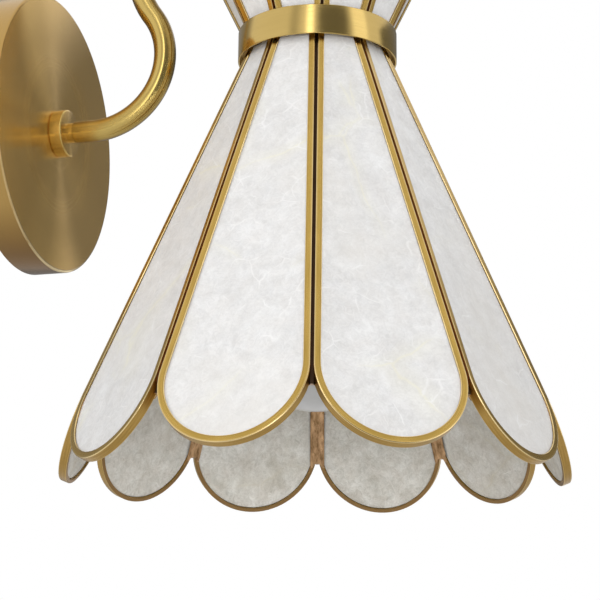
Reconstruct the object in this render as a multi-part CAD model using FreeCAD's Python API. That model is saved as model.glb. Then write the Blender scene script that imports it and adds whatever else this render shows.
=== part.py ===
import FreeCAD, Part
import math
import os

# A hard-wired wall light: a round spun-brass wall pan, a gooseneck arm, and an hourglass shade made of
# two rings of flat shell petals, each panel held in its own brass frame.
# Millimetres. The origin is the middle of the pan's open back, on the wall. +Z is up and the room is
# towards -Y. The arm's centreline lies in the plane x = 0, and the shade's axis is upright.

# Wall pan
pan_diameter = 127.0
pan_depth = 15.5
pan_wall = 1.2
pan_edge_break = 1.0  # the broken edge round the face

# Wall strap inside the pan
strap_width = 20.0
strap_thickness = 1.6
strap_bend_radius = 1.6  # inside each ear's bend
strap_slot_spacing = 80.0
strap_slot_length = 16.0
strap_slot_radius = 2.4
strap_wire_hole_radius = 6.5
strap_pan_gap = 0.3  # between an ear's corners and the pan's wall
ear_margin = 4.0  # metal past each ear's tapped hole

# Screws
screw_radius = 2.0
screw_head_radius = 3.6
screw_head_height = 2.2
screw_head_break = 1.0
screw_slot_width = 0.9
screw_slot_depth = 0.9
screw_point = 2.5  # length left past an ear's inner face
earth_screw_distance = 21.0  # from the strap's middle
screw_hole_clearance = 0.3
thread_clearance = 0.05

# Threaded stem tubes, nuts and washers
nipple_radius = 4.0
nipple_bore_radius = 3.0
nut_across_flats = 13.0
nut_thickness = 4.0
washer_radius = 7.0
washer_thickness = 1.0
nipple_end = 1.0  # thread left past a nut, and short of a bend

# Boss on the pan
boss_radius = 10.7
boss_length = 6.0
boss_chamfer = 0.5
neck_radius = 4.5
neck_length = 2.8

# Gooseneck arm, seen from the side: a stub, a curl back towards the wall, and a wide turn over and down
tube_radius = 5.0
tube_end_break = 0.6
stub_length = 9.0
curl_radius = 33.4
curl_angle = 36.0  # where the curl hands over to the wide turn, above level
shade_offset = 138.5  # wall to shade axis

# Waist: plain band, pierced disc, ferrule
collar_radius = 35.0
collar_wall = 0.9
collar_bottom = 22.0
collar_height = 13.2
collar_edge_break = 0.25
disc_thickness = 1.6
disc_collar_gap = 0.05
vent_count = 5
vent_radius = 6.0
vent_circle_radius = 17.0
ferrule_radius = 8.0
ferrule_length = 14.0
ferrule_chamfer = 1.5
ferrule_socket_depth = 6.0  # how far the arm's end sits in the ferrule
ferrule_grip = 10.0  # stem thread inside the arm's end

# Petal tiers
petal_count = 10
seam_gap = 1.3
frame_width = 2.8
frame_depth = 3.6
frame_web = 1.9  # metal outside the rebate that holds the panel
frame_lip = 0.8  # the rebate's lip in front of the panel
panel_thickness = 2.0
panel_play = 0.1  # round the panel's edge
skirt_corner_gap = 1.03  # frame corner to the band's bore, at the band's lower edge
skirt_slope = 21.97  # from upright
skirt_length = 199.4  # from the band's lower edge to a petal's tip, down the slope
skirt_turn = 14.78  # azimuth of the first petal's middle, from -Y towards +X
crown_corner_gap = 0.2
crown_slope = 24.8
crown_length = 75.0
crown_turn = 18.57
solder_tuck = 4.0  # each seam's solder starts this far inside the band
solder_run_on = 0.25  # solder past the point where a seam opens, as a share of the round end's radius
solder_recess = 2.2  # from the frames' outer faces down to the solder between them
solder_width = 5.0  # the strip inside the shade
solder_rise = 0.4  # the strip's bevelled edge

# Lamp socket
spacer_radius = 6.5
spacer_length = 20.0
cup_radius = 19.0
cup_wall = 1.0
cup_height = 42.0
cup_edge_break = 1.0
insulator_gap = 0.2  # insulator to cup
insulator_head = 24.0  # solid end of the insulator
insulator_bore_depth = 27.0
sleeve_wall = 0.5
sleeve_gap = 0.05  # sleeve to insulator
sleeve_length = 22.0
centre_tab_radius = 3.5
centre_tab_height = 2.0
centre_foot_radius = 6.0  # spring foot, seated round the insulator's wire hole
bulb_clearance = 0.3

# Bulb
bulb_length = 108.4
bulb_radius = 30.0
bulb_glass_wall = 1.0
bulb_cap_radius = 13.0
bulb_cap_wall = 0.4
bulb_cap_length = 20.0
bulb_cone_length = 3.5
bulb_cone_radius = 9.0
bulb_tip_radius = 4.75
bulb_tip_height = 1.5
bulb_neck_tuck = 4.0  # glass neck inside the cap
bulb_neck_gap = 0.1
bulb_shoulder_drop = 1.5  # straight neck below the cap
bulb_bands = 6  # straight bands that make up the ball's outline, with half as many in its flare

CUT_MARGIN = 1.0  # how far cutting tools reach past the metal
FULL_TURN = 360.0
half_petal = math.pi / petal_count
to_room = FreeCAD.Vector(0, -1, 0)
up = FreeCAD.Vector(0, 0, 1)
down = FreeCAD.Vector(0, 0, -1)
sideways = FreeCAD.Vector(1, 0, 0)

# Places along the wall pan's axis, as distances from the wall
pan_radius = pan_diameter / 2
pan_bore_radius = pan_radius - pan_wall
pan_inner_face = pan_depth - pan_wall
pan_nut_end = pan_inner_face - washer_thickness - nut_thickness
boss_end = pan_depth + boss_length
neck_end = boss_end + neck_length
stub_end = neck_end + stub_length
screw_reach = pan_depth / 2
ear_half_span = math.sqrt((pan_bore_radius - strap_pan_gap) ** 2 - (strap_width / 2) ** 2)
ear_length = screw_reach + ear_margin
thread_bore = nipple_radius + thread_clearance

# Heights on the shade's axis
collar_bore = collar_radius - collar_wall
collar_top = collar_bottom + collar_height


class Tier:
    """One ring of petals. Places on the base petal, whose middle faces -Y, are given by
    across (from its middle line), along (down or up its slope from the band's edge) and depth
    (into the metal from its outer face)."""

    def __init__(self, rises, edge_height, corner_gap, slope, length, turn):
        self.rises = rises
        self.edge_height = edge_height
        self.apothem = (collar_bore - corner_gap) * math.cos(half_petal)
        self.slope = math.radians(slope)
        self.length = length
        self.turn = turn
        self.widening = math.sin(self.slope) * math.tan(half_petal)
        self.lean = math.atan(self.widening)
        self.edge_half_width = self.apothem * math.tan(half_petal) - seam_gap / 2 / math.cos(half_petal)
        reach = (self.edge_half_width + self.widening * length) * math.cos(self.lean)
        self.tip_radius = reach / (1 + math.sin(self.lean))
        self.tip_centre = length - self.tip_radius
        self.seam_end = self.tip_centre - self.tip_radius * math.sin(self.lean)
        self.run = FreeCAD.Vector(0, -math.sin(self.slope), rises * math.cos(self.slope))
        self.outward = FreeCAD.Vector(0, -math.cos(self.slope), -rises * math.sin(self.slope))
        self.edge_point = FreeCAD.Vector(0, -shade_offset - self.apothem, edge_height)

    def place(self, across, along, depth):
        return self.edge_point + sideways * across + self.run * along - self.outward * depth

    def along_at(self, height):
        return self.rises * (height - self.edge_height) / math.cos(self.slope)


skirt = Tier(-1, collar_bottom, skirt_corner_gap, skirt_slope, skirt_length, skirt_turn)
crown = Tier(1, collar_top, crown_corner_gap, crown_slope, crown_length, crown_turn)

# The disc sits where the outer faces of the two tiers would meet
skirt_taper = math.tan(skirt.slope)
crown_taper = math.tan(crown.slope)
taper_gap = skirt.apothem - crown.apothem + skirt_taper * collar_bottom + crown_taper * collar_top
disc_middle = taper_gap / (skirt_taper + crown_taper)
disc_top = disc_middle + disc_thickness / 2
disc_bottom = disc_middle - disc_thickness / 2
ferrule_top = disc_top + ferrule_length
arm_end = ferrule_top - ferrule_socket_depth
waist_nut_bottom = disc_bottom - washer_thickness - nut_thickness
cup_top = waist_nut_bottom - spacer_length
insulator_top = cup_top - cup_wall
socket_floor = insulator_top - insulator_head
stem_bottom = insulator_top - nipple_radius
sleeve_bore_radius = bulb_cap_radius + bulb_clearance
sleeve_radius = sleeve_bore_radius + sleeve_wall
bulb_tip = socket_floor - centre_tab_height - bulb_clearance
bulb_bottom = bulb_tip - bulb_length


def from_wall(reach, x=0.0, z=0.0):
    return FreeCAD.Vector(x, -reach, z)


def on_shade_axis(height):
    return FreeCAD.Vector(0, -shade_offset, height)


def rod(radius, start, direction, length):
    return Part.makeCylinder(radius, length, start, direction)


def pipe(radius, bore_radius, start, direction, length):
    return rod(radius, start, direction, length).cut(rod(bore_radius, start, direction, length))


def line(start, end):
    return Part.LineSegment(start, end).toShape()


def arc(start, middle, end):
    return Part.Arc(start, middle, end).toShape()


def circle_edges(shape, centre, radius):
    """The round edges of this radius centred on this point."""
    found = []
    for edge in shape.Edges:
        if not isinstance(edge.Curve, Part.Circle):
            continue
        if edge.Curve.Center.distanceToPoint(centre) < 1e-4 and abs(edge.Curve.Radius - radius) < 1e-4:
            found.append(edge)
    return found


def turned(edges):
    """Turns a closed outline of radius and height into a solid on the shade's axis."""
    return Part.Face(Part.Wire(edges)).revolve(on_shade_axis(0), up, FULL_TURN)


def in_section(radius, height):
    """A point of a turned outline, on the +X side of the shade's axis."""
    return FreeCAD.Vector(radius, -shade_offset, height)


def polygon_edges(points):
    return [line(a, b) for a, b in zip(points, points[1:] + points[:1])]


def prism(points, sweep):
    return Part.Face(Part.Wire(polygon_edges(points))).extrude(sweep)


def backplate():
    pan = rod(pan_radius, from_wall(0), to_room, pan_depth)
    pan = pan.makeChamfer(pan_edge_break, circle_edges(pan, from_wall(pan_depth), pan_radius))
    pan = pan.cut(rod(pan_bore_radius, from_wall(-CUT_MARGIN), to_room, pan_inner_face + CUT_MARGIN))
    pan = pan.cut(rod(thread_bore, from_wall(0), to_room, pan_depth + CUT_MARGIN))
    start = from_wall(screw_reach, x=-pan_diameter)
    return pan.cut(rod(screw_radius + screw_hole_clearance, start, sideways, 2 * pan_diameter))


def strap_slot(x):
    """One wall-screw slot, lengthwise along the strap."""
    half = strap_slot_length / 2 - strap_slot_radius
    depth = strap_thickness + 2 * CUT_MARGIN
    ends = []
    for side in (-1, 1):
        ends.append(rod(strap_slot_radius, from_wall(-CUT_MARGIN, x=x + side * half), to_room, depth))
    corner = from_wall(strap_thickness + CUT_MARGIN, x=x - half, z=-strap_slot_radius)
    middle = Part.makeBox(2 * half, depth, 2 * strap_slot_radius, corner)
    return middle.fuse(ends)


def mounting_bracket():
    """A flat strap on the wall with both ends bent to the room, drilled for the pan's side screws."""
    corner = from_wall(ear_length, -ear_half_span, -strap_width / 2)
    outer = Part.makeBox(2 * ear_half_span, ear_length, strap_width, corner)
    bends = [e for e in outer.Edges if abs(e.CenterOfMass.y) < 1e-6 and abs(e.CenterOfMass.z) < 1e-6]
    bends = [e for e in bends if abs(e.CenterOfMass.x) > ear_half_span / 2]
    outer = outer.makeFillet(strap_bend_radius + strap_thickness, bends)
    inner_half = ear_half_span - strap_thickness
    corner = from_wall(ear_length + CUT_MARGIN, -inner_half, -strap_width)
    inner = Part.makeBox(2 * inner_half, ear_length + CUT_MARGIN - strap_thickness, 2 * strap_width, corner)
    folds = [e for e in inner.Edges if abs(e.CenterOfMass.y + strap_thickness) < 1e-6]
    folds = [e for e in folds if abs(e.CenterOfMass.z) < 1e-6 and abs(e.CenterOfMass.x) > inner_half / 2]
    strap = outer.cut(inner.makeFillet(strap_bend_radius, folds))
    for side in (-1, 1):
        strap = strap.cut(strap_slot(side * strap_slot_spacing / 2))
    through = strap_thickness + 2 * CUT_MARGIN
    strap = strap.cut(rod(strap_wire_hole_radius, from_wall(-CUT_MARGIN), to_room, through))
    earth_hole = from_wall(-CUT_MARGIN, x=earth_screw_distance)
    strap = strap.cut(rod(screw_radius + thread_clearance, earth_hole, to_room, through))
    start = from_wall(screw_reach, x=-pan_diameter)
    return strap.cut(rod(screw_radius + thread_clearance, start, sideways, 2 * pan_diameter))


def slotted_screw(seat, head_direction, slot_direction, shank_length):
    """A round-headed screw whose head stands on the point `seat`."""
    head = rod(screw_head_radius, seat, head_direction, screw_head_height)
    top = seat + head_direction * screw_head_height
    head = head.makeChamfer(screw_head_break, circle_edges(head, top, screw_head_radius))
    across = head_direction.cross(slot_direction)
    corner = top - slot_direction * 2 * screw_head_radius - across * screw_slot_width / 2
    corner = corner - head_direction * screw_slot_depth
    corners = [corner, corner + slot_direction * 4 * screw_head_radius]
    corners += [corners[1] + across * screw_slot_width, corner + across * screw_slot_width]
    slot = prism(corners, head_direction * (screw_slot_depth + CUT_MARGIN))
    return head.cut(slot).fuse(rod(screw_radius, seat, head_direction * -1, shank_length)).removeSplitter()


def side_screws():
    shank = pan_radius - ear_half_span + strap_thickness + screw_point
    sides = [(from_wall(screw_reach, x=side * pan_radius), sideways * side) for side in (-1, 1)]
    return Part.Compound([slotted_screw(seat, out, up, shank) for seat, out in sides])


def ground_screw():
    return slotted_screw(from_wall(strap_thickness, x=earth_screw_distance), to_room, up, strap_thickness)


def hex_nut(start, direction, flat_direction):
    corner_radius = nut_across_flats / 2 / math.cos(math.pi / 6)
    across = direction.cross(flat_direction)
    corners = []
    for step in range(6):
        angle = math.pi / 6 + step * math.pi / 3
        spoke = flat_direction * math.cos(angle) + across * math.sin(angle)
        corners.append(start + spoke * corner_radius)
    nut = prism(corners, direction * nut_thickness)
    return nut.cut(rod(thread_bore, start, direction, nut_thickness))


def hex_nuts():
    in_pan = hex_nut(from_wall(pan_inner_face - washer_thickness), to_room * -1, up)
    at_waist = hex_nut(on_shade_axis(disc_bottom - washer_thickness), down, sideways)
    return Part.Compound([in_pan, at_waist])


def lock_washers():
    in_pan = pipe(washer_radius, thread_bore, from_wall(pan_inner_face), to_room * -1, washer_thickness)
    at_waist = pipe(washer_radius, thread_bore, on_shade_axis(disc_bottom), down, washer_thickness)
    return Part.Compound([in_pan, at_waist])


def arm_nipple():
    start = pan_nut_end - nipple_end
    end = stub_end - nipple_end
    return pipe(nipple_radius, nipple_bore_radius, from_wall(start), to_room, end - start)


def arm_boss():
    disc = rod(boss_radius, from_wall(pan_depth), to_room, boss_length)
    disc = disc.makeChamfer(boss_chamfer, circle_edges(disc, from_wall(boss_end), boss_radius))
    boss = disc.fuse(rod(neck_radius, from_wall(boss_end), to_room, neck_length))
    return boss.cut(rod(thread_bore, from_wall(pan_depth), to_room, boss_length + neck_length))


def arm_path():
    """The arm's centreline: stub, curl, wide turn over the top, and a straight drop into the ferrule."""
    lean = math.radians(curl_angle)
    wide_radius = (shade_offset - stub_end - curl_radius * math.cos(lean)) / (1 + math.cos(lean))
    curl_centre = from_wall(stub_end, z=curl_radius)
    spoke = from_wall(math.cos(lean), z=math.sin(lean))
    wide_centre = curl_centre + spoke * (curl_radius + wide_radius)
    stub = line(from_wall(neck_end), from_wall(stub_end))
    curl_middle = (lean - math.pi / 2) / 2
    curl_side = curl_centre + from_wall(math.cos(curl_middle), z=math.sin(curl_middle)) * curl_radius
    join = curl_centre + spoke * curl_radius
    curl = arc(from_wall(stub_end), curl_side, join)
    crest_angle = (math.pi + lean) / 2
    crest = wide_centre + from_wall(math.cos(crest_angle), z=math.sin(crest_angle)) * wide_radius
    over = on_shade_axis(wide_centre.z)
    return Part.Wire([stub, curl, arc(join, crest, over), line(over, on_shade_axis(arm_end))])


def arm_tube():
    path = arm_path()
    start = from_wall(neck_end)
    rings = []
    for radius in (tube_radius, thread_bore):
        ring = Part.Wire([Part.makeCircle(radius, start, to_room)])
        rings.append(path.makePipeShell([ring], True, False))
    outer, bore = rings
    outer = outer.makeChamfer(tube_end_break, circle_edges(outer, start, tube_radius))
    return outer.cut(bore)


def stem_ferrule():
    body = rod(ferrule_radius, on_shade_axis(disc_top), up, ferrule_length)
    top_edge = circle_edges(body, on_shade_axis(ferrule_top), ferrule_radius)
    body = body.makeChamfer(ferrule_chamfer, top_edge)
    seat_radius = tube_radius + thread_clearance
    seat = rod(seat_radius, on_shade_axis(arm_end), up, ferrule_socket_depth + CUT_MARGIN)
    return body.cut(seat).cut(rod(thread_bore, on_shade_axis(disc_top), up, ferrule_length))


def stem_nipple():
    top = arm_end + ferrule_grip
    return pipe(nipple_radius, nipple_bore_radius, on_shade_axis(stem_bottom), up, top - stem_bottom)


def waist_plate():
    plate = rod(collar_bore - disc_collar_gap, on_shade_axis(disc_bottom), up, disc_thickness)
    plate = plate.cut(rod(thread_bore, on_shade_axis(disc_bottom), up, disc_thickness))
    for step in range(vent_count):
        angle = 2 * math.pi * step / vent_count
        offset = FreeCAD.Vector(math.sin(angle), -math.cos(angle), 0) * vent_circle_radius
        plate = plate.cut(rod(vent_radius, on_shade_axis(disc_bottom) + offset, up, disc_thickness))
    return plate


def waist_collar():
    band = rod(collar_radius, on_shade_axis(collar_bottom), up, collar_height)
    edges = circle_edges(band, on_shade_axis(collar_bottom), collar_radius)
    edges += circle_edges(band, on_shade_axis(collar_top), collar_radius)
    band = band.makeChamfer(collar_edge_break, edges)
    return band.cut(rod(collar_bore, on_shade_axis(collar_bottom), up, collar_height))


def petal_prism(tier, inset, top, depth, thickness):
    """A slab with the petal's outline drawn in by `inset`, its upper edge at `top` along the slope."""
    radius = tier.tip_radius - inset
    half_top = tier.edge_half_width + tier.widening * top - inset / math.cos(tier.lean)
    half_round = radius * math.cos(tier.lean)
    round_start = tier.tip_centre - radius * math.sin(tier.lean)
    left_top = tier.place(-half_top, top, depth)
    right_top = tier.place(half_top, top, depth)
    left_round = tier.place(-half_round, round_start, depth)
    right_round = tier.place(half_round, round_start, depth)
    tip = tier.place(0, tier.tip_centre + radius, depth)
    edges = [line(left_top, left_round), arc(left_round, tip, right_round)]
    edges += [line(right_round, right_top), line(right_top, left_top)]
    return Part.Face(Part.Wire(edges)).extrude(tier.outward * -thickness)


def petal_wedge(tier, disc_face):
    """The slice of space that one petal may fill: between its two seams, on its side of the disc."""
    apex = FreeCAD.Vector(0, -shade_offset - seam_gap / 2 / math.sin(half_petal), disc_face)
    reach = tier.apothem + tier.length
    corners = [apex]
    for side in (-1, 1):
        spoke = FreeCAD.Vector(side * math.sin(half_petal), -math.cos(half_petal), 0)
        corners.append(apex + spoke * reach / math.cos(half_petal))
    return prism(corners, up * tier.rises * (collar_height + tier.length))


def petal_frame(tier, disc_face):
    """A frame with a rebate for its panel, mitred along both seams. Its upper end stands on the disc."""
    disc_along = tier.along_at(disc_face)
    top = disc_along - frame_depth * math.tan(tier.slope) - CUT_MARGIN
    blank = petal_prism(tier, 0, top, 0, frame_depth)
    blank = blank.common(petal_wedge(tier, disc_face))
    window = petal_prism(tier, frame_width, disc_along + frame_width, -CUT_MARGIN, frame_depth + CUT_MARGIN)
    rebate = petal_prism(tier, frame_web, disc_along + frame_web, frame_lip, frame_depth)
    return blank.cut(window).cut(rebate)


def petal_panel(tier, disc_face):
    """The shell panel, laid into the frame's rebate from inside the shade, against the lip."""
    inset = frame_web + panel_play
    top = tier.along_at(disc_face) + inset
    return petal_prism(tier, inset, top, frame_lip, panel_thickness)


def ring_of(shape, count, first_angle):
    """Copies of a shape spaced round the shade's axis."""
    step = FULL_TURN / count
    return [shape.rotated(on_shade_axis(0), up, first_angle + step * place) for place in range(count)]


def seam_solder(tier):
    """Solder down a whole seam: a rib between two frames and a strip across their inner faces. Drawn
    as a level section inside the band and swept parallel to the seam, in the plane x = 0."""
    start_apothem = tier.apothem - solder_tuck * math.sin(tier.slope)
    start_height = tier.edge_height - tier.rises * solder_tuck * math.cos(tier.slope)

    def on_frames(across, depth):
        apothem = start_apothem - depth / math.cos(tier.slope)
        radius = apothem / math.cos(half_petal) - abs(across) * math.tan(half_petal)
        return FreeCAD.Vector(across, -shade_offset - radius, start_height)

    section = []
    for side in (1, -1):
        rib = [on_frames(side * seam_gap / 2, depth) for depth in (solder_recess, frame_depth)]
        edge = on_frames(side * solder_width / 2, frame_depth)
        flat = edge - to_room * solder_rise - sideways * side * solder_rise
        half_section = rib + [edge, flat]
        section += half_section[::side]
    outward = to_room * (math.sin(tier.slope) / math.cos(half_petal))
    seam_run = outward + up * (tier.rises * math.cos(tier.slope))
    return prism(section, seam_run * (solder_tuck + tier.seam_end + solder_run_on * tier.tip_radius))


def solder_beads():
    beads = []
    for tier in (skirt, crown):
        beads += ring_of(seam_solder(tier), petal_count, tier.turn + FULL_TURN / petal_count / 2)
    return Part.Compound(beads)


def socket_spacer():
    return pipe(spacer_radius, thread_bore, on_shade_axis(cup_top), up, spacer_length)


def socket_cup():
    shell = rod(cup_radius, on_shade_axis(cup_top), down, cup_height)
    shell = shell.makeChamfer(cup_edge_break, circle_edges(shell, on_shade_axis(cup_top), cup_radius))
    hollow = rod(cup_radius - cup_wall, on_shade_axis(insulator_top), down, cup_height)
    return shell.cut(hollow).cut(rod(thread_bore, on_shade_axis(cup_top), down, cup_wall))


def socket_body():
    radius = cup_radius - cup_wall - insulator_gap
    length = insulator_head + insulator_bore_depth
    body = rod(radius, on_shade_axis(insulator_top), down, length)
    bore = rod(sleeve_radius + sleeve_gap, on_shade_axis(socket_floor), down, insulator_bore_depth)
    stem_hole = rod(thread_bore, on_shade_axis(insulator_top), down, insulator_head)
    return body.cut(bore).cut(stem_hole)


def socket_contacts():
    """The threaded sleeve that takes the cap, and the centre tab on its spring foot."""
    sleeve = pipe(sleeve_radius, sleeve_bore_radius, on_shade_axis(socket_floor), down, sleeve_length)
    foot = rod(centre_foot_radius, on_shade_axis(socket_floor), down, sleeve_wall)
    tab = rod(centre_tab_radius, on_shade_axis(socket_floor), down, centre_tab_height)
    return Part.Compound([sleeve, foot.fuse(tab).removeSplitter()])


def bulb_outline(wall):
    """Half outline of the glass, `wall` inside its outer face, from the bottom pole to its open neck:
    a ball, a hollow flare tangent to it, and a straight neck."""
    neck = bulb_cap_radius - bulb_cap_wall - bulb_neck_gap
    cap_bottom = bulb_tip - bulb_tip_height - bulb_cone_length - bulb_cap_length
    neck_height = cap_bottom - bulb_shoulder_drop
    ball_height = bulb_bottom + bulb_radius
    rise = neck_height - ball_height
    flare = (rise ** 2 + neck ** 2 - bulb_radius ** 2) / (2 * (bulb_radius - neck))
    turn = math.atan2(rise, neck + flare)
    ball = bulb_radius - wall

    points = []
    for step in range(bulb_bands + 1):
        angle = -math.pi / 2 + (turn + math.pi / 2) * step / bulb_bands
        points.append(in_section(ball * math.cos(angle), ball_height + ball * math.sin(angle)))
    curve = flare + wall
    flare_bands = math.ceil(bulb_bands / 2)
    for step in range(1, flare_bands + 1):
        angle = turn * (1 - step / flare_bands)
        height = neck_height - curve * math.sin(angle)
        points.append(in_section(neck + flare - curve * math.cos(angle), height))
    return points + [in_section(neck - wall, cap_bottom + bulb_neck_tuck)]


def bulb_glass():
    return turned(polygon_edges(bulb_outline(0) + bulb_outline(bulb_glass_wall)[::-1]))


def bulb_cap():
    """The cap's screw shell, its insulating cone and the end contact, hollow where the neck goes in."""
    cone_top = bulb_tip - bulb_tip_height
    shell_top = cone_top - bulb_cone_length
    shell_bottom = shell_top - bulb_cap_length
    bore = bulb_cap_radius - bulb_cap_wall
    points = [(0, bulb_tip), (bulb_tip_radius, bulb_tip), (bulb_tip_radius, cone_top)]
    points += [(bulb_cone_radius, shell_top), (bulb_cap_radius, shell_top), (bulb_cap_radius, shell_bottom)]
    points += [(bore, shell_bottom), (bore, shell_top - bulb_cap_wall), (0, shell_top - bulb_cap_wall)]
    return turned(polygon_edges([in_section(radius, height) for radius, height in points]))


def write(name, shape):
    shape.exportStep("parts/%s.step" % name)


def write_tier(name, tier, disc_face):
    """Writes the frames and panels of one tier, numbered round the shade."""
    frames = ring_of(petal_frame(tier, disc_face), petal_count, tier.turn)
    panels = ring_of(petal_panel(tier, disc_face), petal_count, tier.turn)
    for number, (frame, panel) in enumerate(zip(frames, panels), start=1):
        write("%s_frame_%02d" % (name, number), frame)
        write("%s_panel_%02d" % (name, number), panel)


os.makedirs("parts", exist_ok=True)
for make in (
    backplate,
    mounting_bracket,
    side_screws,
    ground_screw,
    hex_nuts,
    lock_washers,
    arm_nipple,
    arm_boss,
    arm_tube,
    stem_ferrule,
    stem_nipple,
    waist_plate,
    waist_collar,
    solder_beads,
    socket_spacer,
    socket_cup,
    socket_body,
    socket_contacts,
    bulb_glass,
    bulb_cap,
):
    write(make.__name__, make())
write_tier("skirt", skirt, disc_bottom)
write_tier("crown", crown, disc_top)
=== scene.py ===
import math

import bmesh
import bpy
from mathutils import Matrix, Vector


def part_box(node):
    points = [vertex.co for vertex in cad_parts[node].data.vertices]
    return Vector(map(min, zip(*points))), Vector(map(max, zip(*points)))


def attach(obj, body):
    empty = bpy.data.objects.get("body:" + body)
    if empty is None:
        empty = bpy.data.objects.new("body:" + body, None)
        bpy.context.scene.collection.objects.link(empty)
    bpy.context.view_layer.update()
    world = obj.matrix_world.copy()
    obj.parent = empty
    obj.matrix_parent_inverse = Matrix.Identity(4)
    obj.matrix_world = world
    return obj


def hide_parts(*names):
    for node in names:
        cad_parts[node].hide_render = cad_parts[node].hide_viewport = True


# A shell-petal wall light, dressed for its picture. Sizes are in millimetres until `mm` turns them
# into metres. The wall is the plane y = 0, the room is towards -Y and the shade's axis is upright.

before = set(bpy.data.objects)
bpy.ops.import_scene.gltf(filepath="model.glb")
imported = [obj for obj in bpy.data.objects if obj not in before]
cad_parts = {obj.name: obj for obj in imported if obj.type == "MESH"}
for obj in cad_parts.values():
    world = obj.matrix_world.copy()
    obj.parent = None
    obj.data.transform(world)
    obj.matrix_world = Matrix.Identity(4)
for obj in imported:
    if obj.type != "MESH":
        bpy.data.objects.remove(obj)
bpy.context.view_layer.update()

SHADE_OFFSET = 138.5
PAN_RADIUS, PAN_DEPTH, PAN_WALL, PAN_ROUND = 63.5, 15.5, 1.2, 1.1
BOSS_RADIUS, BOSS_LENGTH, BOSS_ROUND, BOSS_FOOT = 10.7, 6.0, 0.55, 0.4
NECK_RADIUS, NECK_LENGTH = 4.5, 2.8
TUBE_RADIUS, TUBE_ROUND, STUB_LENGTH, ARM_END = 5.0, 0.6, 9.0, 36.9
CURL_RADIUS, CURL_ANGLE = 33.4, 36.0
COLLAR_RADIUS, COLLAR_WALL, COLLAR_ROUND = 35.0, 0.9, 0.28
COLLAR_BOTTOM, COLLAR_HEIGHT = 22.0, 13.2
FERRULE_RADIUS, FERRULE_ROUND = 8.0, 1.5
CUP_RADIUS, CUP_WALL, CUP_ROUND = 19.0, 1.0, 1.6
STEM_RADIUS, STEM_WALL, STEM_ROUND = 6.5, 1.2, 0.4
BULB_RADIUS, BULB_NECK, BULB_WALL, BULB_BOTTOM = 30.0, 12.5, 1.0, -133.4
CAP_BOTTOM, NECK_BELOW_CAP, NECK_IN_CAP = -50.0, 1.5, 4.0
PETALS, SEAM_GAP = 10, 1.3
HALF_PETAL = math.pi / PETALS
FRAME_WIDTH, FRAME_DEPTH, FRAME_WEB, FRAME_LIP, FRAME_ROUND = 2.8, 3.6, 1.9, 0.8, 0.3
PANEL_INSET, PANEL_THICKNESS, PANEL_ROUND = 2.0, 2.0, 0.2
SOLDER_TUCK, SOLDER_RECESS, SOLDER_RUN_ON = 4.0, 2.2, 12.2
SOLDER_WIDTH, SOLDER_RISE, SOLDER_ROUND = 6.6, 0.45, 0.5
SOLDER_NOTCH, SOLDER_NOTCH_WIDTH = 2.0, 4.4
CUT_SLACK, WELD_SLACK = 0.002, 0.004


def mm(*sizes):
    """Millimetres as metres: one number, or a point of three."""
    return sizes[0] / 1000 if len(sizes) == 1 else Vector(sizes) / 1000


def on_shade_axis(height):
    return mm(0, -SHADE_OFFSET, height)


# ---------------------------------------------------------------- hands-on modelling


def clear_selection():
    if bpy.context.mode != "OBJECT":
        bpy.ops.object.mode_set(mode="OBJECT")
    bpy.ops.object.select_all(action="DESELECT")


def take_up(piece):
    """Selects this piece alone and makes it the active one."""
    clear_selection()
    piece.select_set(True)
    bpy.context.view_layer.objects.active = piece


def settle(piece):
    """Moves a piece's place, turn and size into its mesh."""
    take_up(piece)
    bpy.ops.object.transform_apply(location=True, rotation=True, scale=True)


def start(name, add, **sizes):
    """Adds a primitive, names it and opens it in edit mode."""
    clear_selection()
    add(**sizes)
    piece = bpy.context.object
    piece.name = name
    piece.data.name = name
    settle(piece)
    bpy.ops.object.mode_set(mode="EDIT")
    bpy.ops.mesh.select_mode(type="VERT")
    return piece


def open_up(piece):
    take_up(piece)
    bpy.ops.object.mode_set(mode="EDIT")


def pick_all():
    bpy.ops.mesh.select_all(action="SELECT")


def start_from_point(name, place):
    """Starts a piece as one vertex: a small plane merged to its middle."""
    piece = start(name, bpy.ops.mesh.primitive_plane_add, size=mm(1), location=place)
    pick_all()
    bpy.ops.mesh.merge(type="CENTER")
    return piece


def pick(piece, kind, wanted):
    """Selects only the vertices, edges or faces that `wanted` says yes to."""
    bpy.ops.mesh.select_mode(type=kind)
    bpy.ops.mesh.select_all(action="DESELECT")
    mesh = bmesh.from_edit_mesh(piece.data)
    parts = {"VERT": mesh.verts, "EDGE": mesh.edges, "FACE": mesh.faces}[kind]
    for part in parts:
        if wanted(part):
            part.select_set(True)
    mesh.select_flush_mode()
    bmesh.update_edit_mesh(piece.data)


def draw_out(x=0.0, y=0.0, z=0.0):
    """Extrudes what is selected by millimetres."""
    bpy.ops.mesh.extrude_region_move(TRANSFORM_OT_translate={"value": mm(x, y, z)})


def widen(centre, x=1.0, y=1.0):
    """Scales what is selected about a point, along X and Y."""
    bpy.ops.transform.resize(value=(x, y, 1), center_override=centre)


def point_outwards():
    """Turns every face of the open piece to look outwards."""
    pick_all()
    bpy.ops.mesh.normals_make_consistent(inside=False)


def cut_off(place, outward, fill=False):
    """Cuts the open piece at a plane and drops what lies outside it."""
    pick_all()
    bpy.ops.mesh.bisect(
        plane_co=place, plane_no=outward, clear_outer=True, use_fill=fill, threshold=mm(CUT_SLACK)
    )


def middle_of(edge):
    return (edge.verts[0].co + edge.verts[1].co) / 2


def near(value, target, slack=0.05):
    """Whether a place in metres is within `slack` millimetres of one in millimetres."""
    return abs(value * 1000 - target) < slack


def lies_at(edge, axis, level):
    """Whether both ends of an edge are at a level, in millimetres, on one of the axes."""
    return all(near(vert.co[axis], level) for vert in edge.verts)


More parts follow.
